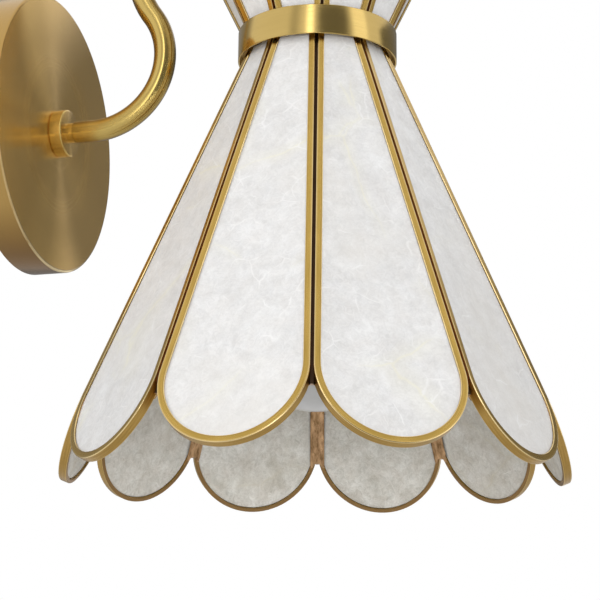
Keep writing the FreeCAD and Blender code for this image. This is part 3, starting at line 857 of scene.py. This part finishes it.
class Tier:
    """One ring of petals: where it starts, how it leans and how far it reaches."""

    def __init__(self, name, *, rises, edge_height, apothem, slope, length, turn, disc_face):
        self.name, self.rises, self.turn = name, rises, turn
        self.edge_height, self.apothem, self.disc_face = edge_height, apothem, disc_face
        self.slope = math.radians(slope)
        self.widening = math.sin(self.slope) * math.tan(HALF_PETAL)
        self.lean = math.atan(self.widening)
        self.half_width = apothem * math.tan(HALF_PETAL) - SEAM_GAP / 2 / math.cos(HALF_PETAL)
        reach = (self.half_width + self.widening * length) * math.cos(self.lean)
        self.tip_radius = reach / (1 + math.sin(self.lean))
        self.tip_centre = length - self.tip_radius

    def disc_along(self):
        """How far from the band's edge, along the slope, a petal's outer face meets the disc."""
        return self.rises * (self.disc_face - self.edge_height) / math.cos(self.slope)

    def brush_place(self, point):
        """In from a petal's outline, along it, and out from its face, for a point in its place."""
        flat = self.stand_up().inverted() @ point
        across, along = abs(flat.x * 1000), flat.y * 1000 * self.rises
        if along < self.tip_centre - self.tip_radius * math.sin(self.lean):
            inset = (self.half_width + self.widening * along - across) * math.cos(self.lean)
        else:
            inset = self.tip_radius - math.hypot(across, along - self.tip_centre)
            along = self.tip_centre + self.tip_radius * math.atan2(along - self.tip_centre, across)
        return mm(inset, along, flat.z * 1000)

    def stand_up(self):
        """Takes a petal drawn flat, its outer face towards +Z, to its place facing the room."""
        run = Vector((0, -math.sin(self.slope), self.rises * math.cos(self.slope)))
        outward = Vector((0, -math.cos(self.slope), -self.rises * math.sin(self.slope)))
        edge = mm(0, -SHADE_OFFSET - self.apothem, self.edge_height)
        turned = Matrix((Vector((1, 0, 0)), run * self.rises, outward)).transposed().to_4x4()
        return Matrix.Translation(edge) @ turned

    def outward(self):
        """The way that the outer face of the petal facing the room looks."""
        return self.stand_up().to_3x3() @ Vector((0, 0, 1))


skirt = Tier(
    "skirt", rises=-1, edge_height=COLLAR_BOTTOM, apothem=31.45, slope=21.97,
    length=199.4, turn=14.78, disc_face=27.3,
)
crown = Tier(
    "crown", rises=1, edge_height=COLLAR_BOTTOM + COLLAR_HEIGHT, apothem=32.24, slope=24.8,
    length=75.0, turn=18.57, disc_face=28.9,
)


def petal_outline(tier, name):
    """The petal's outline as one flat face: a round tip spun from a point, with straight sides."""
    up = tier.rises
    tangent = tier.tip_centre - tier.tip_radius * math.sin(tier.lean)
    half = tier.tip_radius * math.cos(tier.lean)
    piece = start_from_point(name, mm(half, up * tangent, 0))
    sweep = -up * (math.pi + 2 * tier.lean)
    bpy.ops.mesh.spin(steps=44, angle=sweep, center=mm(0, up * tier.tip_centre, 0), axis=(0, 0, 1))
    top = tier.disc_along() - FRAME_DEPTH * math.tan(tier.slope) - 0.5
    pick(piece, "VERT", lambda vert: len(vert.link_edges) == 1)
    draw_out(y=up * (top - tangent))
    widen((0, 0, 0), x=(tier.half_width + tier.widening * top) / half)
    pick_all()
    bpy.ops.mesh.edge_face_add()
    return piece


def frame_blank(tier):
    """A petal frame: the outline drawn back into a slab, and opened with a lip left in front."""
    piece = petal_outline(tier, tier.name + "_frame_blank")
    point_outwards()
    draw_out(z=-FRAME_DEPTH)
    point_outwards()
    pick(piece, "FACE", lambda face: face.normal.z > 0.9)
    bpy.ops.mesh.inset(thickness=mm(FRAME_WIDTH), use_even_offset=True)
    bpy.ops.mesh.delete(type="FACE")
    pick(piece, "EDGE", lambda edge: edge.is_boundary)
    draw_out(z=-FRAME_LIP)
    pick(piece, "FACE", lambda face: face.normal.z < -0.9)
    bpy.ops.mesh.inset(thickness=mm(FRAME_WEB), use_even_offset=True)
    bpy.ops.mesh.delete(type="FACE")
    pick(piece, "EDGE", lambda edge: edge.is_boundary and near(middle_of(edge).z, -FRAME_DEPTH))
    draw_out(z=FRAME_DEPTH - FRAME_LIP)
    pick(piece, "EDGE", lambda edge: edge.is_boundary)
    bpy.ops.mesh.bridge_edge_loops()
    clear_selection()
    piece.matrix_world = tier.stand_up()
    settle(piece)
    open_up(piece)
    apex = mm(0, -SHADE_OFFSET - SEAM_GAP / 2 / math.sin(HALF_PETAL), 0)
    mitres = [Vector((side * math.cos(HALF_PETAL), math.sin(HALF_PETAL), 0)) for side in (-1, 1)]
    for mitre in mitres:
        cut_off(apex, mitre, fill=True)
    cut_off(mm(0, 0, tier.disc_face), (0, 0, -tier.rises), fill=True)
    finish_mesh(piece)
    round_edges(piece, FRAME_ROUND, 35)
    mark_brush(finish_mesh(piece), tier.brush_place)
    outward = tier.outward()
    piece.data.materials.append(frame_brass)
    second_finish(piece, side_brass, lambda face: abs(face.normal.dot(outward)) < 0.25)
    # Rounded edges turned partly towards the room take the painted highlight brass.
    second_finish(piece, arris_highlight_brass, lambda face: 0.25 <= face.normal.dot(outward) < 0.95)
    second_finish(piece, inner_patina, lambda face: face.normal.dot(outward) < -0.5)
    on_mitre = 0.98
    return second_finish(
        piece, seam_side, lambda face: any(face.normal.dot(mitre) > on_mitre for mitre in mitres)
    )


def panel_blank(tier):
    """A shell panel: the petal's outline drawn in to fit the rebate and given its thickness."""
    piece = petal_outline(tier, tier.name + "_panel_blank")
    point_outwards()
    bpy.ops.mesh.inset(thickness=mm(PANEL_INSET), use_even_offset=True)
    pick(piece, "FACE", lambda face: len(face.verts) == 4)
    bpy.ops.mesh.delete(type="FACE")
    cut_off(mm(0, tier.rises * (tier.disc_along() + PANEL_INSET), 0), (0, -tier.rises, 0))
    pick_all()
    bpy.ops.transform.translate(value=mm(0, 0, -FRAME_LIP))
    draw_out(z=-PANEL_THICKNESS)
    finish_mesh(piece)
    round_edges(piece, PANEL_ROUND, 60)
    piece.matrix_world = tier.stand_up()
    settle(piece)
    outward = tier.outward()
    piece.data.materials.append(shell_face)
    mark_brush(finish_mesh(piece), tier.brush_place)
    # The faces towards the shade's inside take the shell with the painted glow.
    return second_finish(piece, shell_back_glow, lambda face: face.normal.dot(outward) < -0.3)


def solder_blank(tier):
    """One seam's solder: its level section drawn point by point, run down the seam, with a rounded
    back and a hollow where the petals part."""
    lift = tier.rises * math.cos(tier.slope)
    start_height = tier.edge_height - SOLDER_TUCK * lift

    def on_frames(across, depth, rise=0.0):
        apothem = tier.apothem - SOLDER_TUCK * math.sin(tier.slope) - depth / math.cos(tier.slope)
        radius = apothem / math.cos(HALF_PETAL) - abs(across) * math.tan(HALF_PETAL)
        return Vector((across, -SHADE_OFFSET - radius + rise, start_height))

    half = [on_frames(SEAM_GAP / 2, depth) for depth in (SOLDER_RECESS, FRAME_DEPTH)]
    half.append(on_frames(SOLDER_WIDTH / 2, FRAME_DEPTH))
    half.append(on_frames(SOLDER_WIDTH / 2, FRAME_DEPTH, SOLDER_RISE) - Vector((SOLDER_RISE, 0, 0)))
    section = half + [Vector((-corner.x, corner.y, corner.z)) for corner in reversed(half)]
    piece = start_from_point(tier.name + "_solder_blank", section[0] / 1000)
    for last, corner in zip(section, section[1:]):
        draw_out(*(corner - last))
    pick_all()
    bpy.ops.mesh.edge_face_add()
    run = Vector((0, -math.sin(tier.slope) / math.cos(HALF_PETAL), lift))
    seam_end = tier.tip_centre - tier.tip_radius * math.sin(tier.lean)
    length = SOLDER_TUCK + seam_end + SOLDER_RUN_ON * tier.tip_radius / skirt.tip_radius
    draw_out(*(run * length))

    def on_back_edge(edge):
        runs_down = edge.calc_length() > mm(SOLDER_WIDTH)
        return runs_down and all(near(abs(v.co.x), half[3].x) for v in edge.verts)

    pick(piece, "EDGE", on_back_edge)
    bpy.ops.mesh.bevel(offset=mm(SOLDER_ROUND), segments=4)
    columns = [SOLDER_NOTCH_WIDTH / 8 * step for step in range(-4, 5)]
    for across in columns:
        pick_all()
        bpy.ops.mesh.bisect(plane_co=mm(across, 0, 0), plane_no=(1, 0, 0), threshold=mm(CUT_SLACK))
    end_height = start_height + lift * length
    for across in columns + [-SEAM_GAP / 2, SEAM_GAP / 2]:
        share = math.sqrt(max(0.0, 1 - (2 * across / SOLDER_NOTCH_WIDTH) ** 2))
        pick(piece, "VERT", lambda vert: near(vert.co.x, across) and near(vert.co.z, end_height))
        bpy.ops.transform.translate(value=run * (-SOLDER_NOTCH * share / 1000))
    finish_mesh(piece, 50)
    piece.data.materials.append(seam_brass)
    # The solder's faces towards the room, down in the gap, take the painted shade.
    return second_finish(piece, seam_painted_shade, lambda face: face.normal.y < -0.4)


def turned_copy(piece, name, degrees):
    """A copy of a piece, turned about the shade's axis."""
    take_up(piece)
    bpy.ops.object.duplicate()
    copy = bpy.context.object
    copy.name = name
    copy.data.name = name
    middle = Matrix.Translation(on_shade_axis(0))
    copy.matrix_world = middle @ Matrix.Rotation(math.radians(degrees), 4, "Z") @ middle.inverted()
    settle(copy)
    return copy


def petals(tier):
    """The tier's seams, frames and panels, each turned into its place from one of a kind."""
    for kind, form, make, material, slot in (
        ("seam", "solder", solder_blank, seam_brass, "solder"),
        ("frame", "bar", frame_blank, frame_brass, "frame_brass"),
        ("panel", "sheet", panel_blank, shell_face, "shell"),
    ):
        blank = make(tier)
        for number in range(PETALS):
            own_node = "%s_%s_%02d" % (tier.name, kind, number + 1)
            steps = number + 0.5 if kind == "seam" else number
            copy = turned_copy(blank, own_node + "_" + form, tier.turn + steps * 360 / PETALS)
            stands_for = "solder_beads" if kind == "seam" else own_node
            wear_it(copy, material, slot, "fixture", stands_for)
        bpy.data.objects.remove(blank)


# ---------------------------------------------------------------- putting it together

wear_it(wall_pan(), pan_brass, "satin_brass", "fixture", "backplate")
boss = boss_and_neck()
boss.data.materials.append(boss_brass)
second_finish(boss, pan_brass, lambda face: face.normal.y < -0.95)
wear_it(boss, boss_brass, "satin_brass", "fixture", "arm_boss")
wear_it(gooseneck(), tube_brass, "satin_brass", "fixture", "arm_tube")
wear_it(waist_band(), collar_brass, "brushed_brass", "fixture", "waist_collar")
wear_it(ferrule(), turned_brass, "satin_brass", "fixture", "stem_ferrule")
wear_it(lamp_cup(), turned_brass, "satin_brass", "fixture", "socket_cup")
wear_it(cup_stem(), turned_brass, "satin_brass", "fixture", "socket_spacer")
wear_it(frosted_bulb(), frosted, "frosted_glass", "bulb", "bulb_glass")
for ring in (skirt, crown):
    petals(ring)

CAD_FINISHES = {
    "mounting_bracket": plated_steel,
    "side_screws": boss_brass,
    "ground_screw": earth_green,
    "hex_nuts": inner_brass,
    "lock_washers": plated_steel,
    "arm_nipple": inner_brass,
    "stem_nipple": inner_brass,
    "waist_plate": inner_brass,
    "socket_body": china,
    "socket_contacts": inner_brass,
    "bulb_cap": cap_metal,
}
for name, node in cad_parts.items():
    finish = CAD_FINISHES.get(name)
    if finish:
        node.data.materials.clear()
        node.data.materials.append(finish)


# ---------------------------------------------------------------- studio


def stage_plane(name, size, place, turn, material):
    """A plane of the studio, which isn't part of the light."""
    clear_selection()
    bpy.ops.mesh.primitive_plane_add(size=1, location=place, rotation=turn)
    plane = bpy.context.object
    plane.name = name
    plane.scale = (size[0], size[1], 1)
    plane.data.materials.append(material)
    return plane


def plain_paint(name, grey):
    material, nodes, shader, place = blank_material(name)
    tone = nodes.between(nodes.noise(place, 3.0, 2.0), 0.3, 0.7)
    dim = grey * 0.99
    low, high = (dim, dim, dim, 1), (grey, grey, grey, 1)
    nodes.tree.links.new(nodes.mix(tone, low, high), shader.inputs["Base Color"])
    shader.inputs["Roughness"].default_value = 0.9
    return material


def glowing_card(name, glow, softness):
    """A card's face as polished metal sees it: even in the middle, fading away at its two sides."""
    material, nodes, shader, place = blank_material(name)
    across = nodes.math("ABSOLUTE", nodes.add("ShaderNodeSeparateXYZ", {0: place}).outputs["X"])
    shader.inputs["Base Color"].default_value = (0, 0, 0, 1)
    shader.inputs["Specular IOR Level"].default_value = 0.0
    shader.inputs["Emission Color"].default_value = (1, 1, 1, 1)
    shader.inputs["Emission Strength"].default_value = glow
    solid = nodes.between(across, 0.5 - 0.5 * softness, 0.5, 1.0, 0.0)
    nodes.tree.links.new(solid, shader.inputs["Alpha"])
    return material


def studio_card(name, glow, turn, width, height, level, distance, softness):
    """An upright card round the shade that only the metal sees. `turn` is from the room towards +X,
    in degrees, and the sizes are in metres."""
    angle = math.radians(turn)
    away = Vector((math.sin(angle), -math.cos(angle), 0))
    place = on_shade_axis(0) + away * distance + Vector((0, 0, level))
    face = glowing_card(name + "_face", glow, softness)
    card = stage_plane(name, (width, height), place, (math.pi / 2, 0, angle), face)
    for ray in ("camera", "diffuse", "shadow", "transmission"):
        setattr(card, "visible_" + ray, False)


def soft_light(name, place, aim, size, watts):
    """A lamp that lights the shell and isn't seen in the metal."""
    light = bpy.data.lights.new(name, "AREA")
    light.shape = "RECTANGLE"
    light.size, light.size_y = size
    light.energy = watts
    lamp = bpy.data.objects.new(name, light)
    bpy.context.scene.collection.objects.link(lamp)
    lamp.location = place
    lamp.visible_glossy = False
    lamp.rotation_euler = (Vector(aim) - Vector(place)).to_track_quat("-Z", "Y").to_euler()


def white_surround(level):
    """White to the eye and in the metal, and a grey of this level as light on the shell."""
    world = bpy.data.worlds.new("white studio")
    bpy.context.scene.world = world
    world.use_nodes = True
    nodes = Nodes(world.node_tree)
    path = nodes.add("ShaderNodeLightPath").outputs
    seen = nodes.math("MAXIMUM", path["Is Camera Ray"], path["Is Glossy Ray"])
    seen = nodes.math("MAXIMUM", seen, path["Is Transmission Ray"])
    world.cycles.sampling_method = "NONE"
    background = world.node_tree.nodes["Background"]
    background.inputs["Color"].default_value = (1, 1, 1, 1)
    strength = nodes.between(seen, 0.0, 1.0, level, 1.0)
    world.node_tree.links.new(strength, background.inputs["Strength"])


LENS, SENSOR_WIDTH, NEAR_END = 102.65, 36.0, 10.0
CAMERA_PLACE = (-682.4, -327.7, -260.7)
CAMERA_TURN, CAMERA_RISE, CAMERA_ROLL = -73.96, 13.90, 0.51


def photo_camera():
    camera = bpy.data.objects.new("camera", bpy.data.cameras.new("camera"))
    bpy.context.scene.collection.objects.link(camera)
    camera.data.lens = LENS
    camera.data.sensor_width = SENSOR_WIDTH
    camera.data.clip_start = mm(NEAR_END)
    turn = Matrix.Rotation(math.radians(CAMERA_TURN), 4, "Z")
    turn = turn @ Matrix.Rotation(math.radians(90 + CAMERA_RISE), 4, "X")
    turn = turn @ Matrix.Rotation(math.radians(CAMERA_ROLL), 4, "Z")
    camera.matrix_world = Matrix.Translation(mm(*CAMERA_PLACE)) @ turn
    bpy.context.scene.camera = camera


photo_camera()
white_surround(0.69)
stage_plane("floor", (6, 6), (0, -0.6, -0.42), (0, 0, 0), plain_paint("floor_paint", 0.9))
for card in (
    # name, glow, turn, width, height, level, distance, softness
    ("dark_card_by_the_camera", 0.2, -52, 1.6, 1.8, 0.4, 1.5, 0.41),
    ("bright_card", 1.6, -12, 0.76, 1.8, 0.4, 1.52, 0.35),
    ("dark_card_on_the_right", 0.2, 66, 2.6, 0.85, 0.33, 1.3, 0.3),
    ("dark_card_behind", 0.3, 138, 2.0, 1.6, 0.3, 1.2, 0.4),
    ("grey_card_by_the_wall", 0.6, -107, 0.45, 1.8, 0.4, 1.3, 0.8),
    ("bright_strip", 3.6, -85, 0.36, 1.8, 0.4, 1.48, 0.95),
    ("bright_card_low", 1.4, 76, 0.5, 0.22, 0.02, 1.2, 1.0),
    ("bright_card_overhead", 1.4, 90, 0.9, 0.45, 0.95, 1.2, 0.3),
):
    studio_card(*card)
for lamp in (
    # name, place, aim and size in metres, watts
    ("high_softbox", (-1.4, -0.95, 0.55), on_shade_axis(-40), (0.9, 0.9), 1.9),
    ("low_softbox", (-1.3, -0.75, -0.38), on_shade_axis(40), (0.7, 0.4), 10.2),
    ("side_softbox", (-1.0, 1.1, 0.2), on_shade_axis(0), (0.7, 0.7), 5.0),
):
    soft_light(*lamp)
bpy.context.scene.view_settings.view_transform = "Standard"
